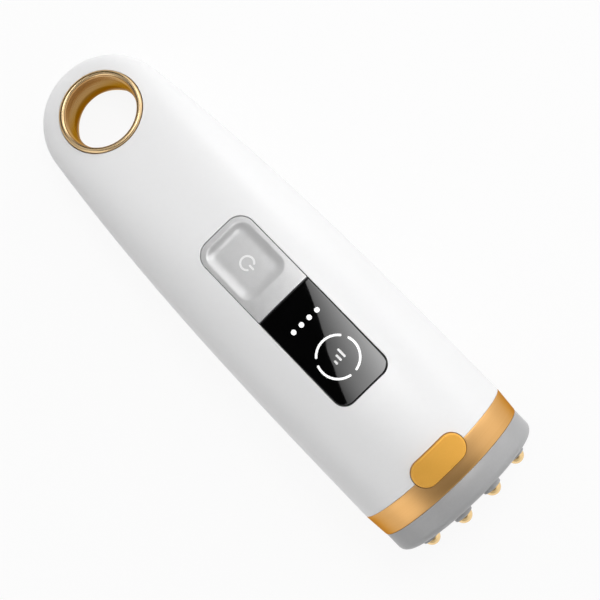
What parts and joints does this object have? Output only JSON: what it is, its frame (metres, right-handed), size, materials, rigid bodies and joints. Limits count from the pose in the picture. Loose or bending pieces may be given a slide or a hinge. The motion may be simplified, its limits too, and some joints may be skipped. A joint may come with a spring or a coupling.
{
  "type": "rf facial device",
  "caption": "Handheld radio-frequency facial wand: tapered shell with a hanging ring at the tail, a studded oval head in a metal band, a scooped power key, a mode key and a glossy window.",
  "frame": {"origin": "on the plane the device lies on, under the middle of its length and width", "axes": "+X from the tail ring to the treatment head, +Z out of the control face side, up"},
  "size_m": [0.1606, 0.0484, 0.0418],
  "materials": {
    "white_plastic": "satin gloss",
    "gold_trim": "satin plated",
    "grey_plastic": "satin",
    "silver_plastic": "satin metallic paint",
    "black_lens": "polished",
    "inner_plastic": "moulded",
    "black_plastic": "moulded",
    "board": "solder mask",
    "seal_rubber": "matt",
    "cell_wrap": "foil",
    "ferrite": "matt",
    "copper": "wound wire",
    "led": "clear",
    "steel": "plain",
    "lead_cover": "satin",
    "gold_contact": "polished plated"
  },
  "bodies": {
    "handset": {"front_shell": "white_plastic", "rear_shell": "white_plastic", "screw_plugs": "white_plastic", "ring_bush_front": "gold_trim", "ring_bush_rear": "gold_trim", "trim_band": "gold_trim", "head_cap": "grey_plastic", "display_lens": "black_lens", "head_frame": "inner_plastic", "light_box": "inner_plastic", "mode_switch": "inner_plastic", "power_switch": "inner_plastic", "controller_chip": "black_plastic", "charge_tongue": "black_plastic", "electrode_board": "board", "main_board": "board", "mode_board": "board", "charge_board": "board", "head_seal": "seal_rubber", "battery_pad": "seal_rubber", "battery_cell": "cell_wrap", "rf_transformer_core": "ferrite", "rf_transformer_coil": "copper", "touch_pad": "copper", "indicator_leds": "led", "charge_socket": "steel", "head_screws": "steel", "mode_board_screws": "steel", "board_screws": "steel", "charge_board_screws": "steel", "shell_screws": "steel", "rf_leads": "lead_cover", "battery_leads": "lead_cover", "charge_leads": "lead_cover", "electrode_01": "gold_contact", "electrode_02": "gold_contact", "electrode_03": "gold_contact", "electrode_04": "gold_contact", "electrode_05": "gold_contact", "electrode_06": "gold_contact", "electrode_07": "gold_contact", "electrode_08": "gold_contact", "electrode_09": "gold_contact", "electrode_10": "gold_contact", "electrode_11": "gold_contact", "electrode_12": "gold_contact"},
    "power_key": {"power_key": "silver_plastic", "power_switch_plunger": "black_plastic"},
    "mode_key": {"mode_key": "gold_trim", "mode_switch_plunger": "black_plastic"}
  },
  "joints": [
    {"name": "power_press", "type": "slide", "parent": "handset", "child": "power_key", "axis": [0.185, 0, -0.9827], "range_m": [0, 0.0007], "stiffness_N_per_m": 1500},
    {"name": "mode_press", "type": "slide", "parent": "handset", "child": "mode_key", "axis": [0, 0, -1], "range_m": [0, 0.0006], "stiffness_N_per_m": 1500}
  ]
}
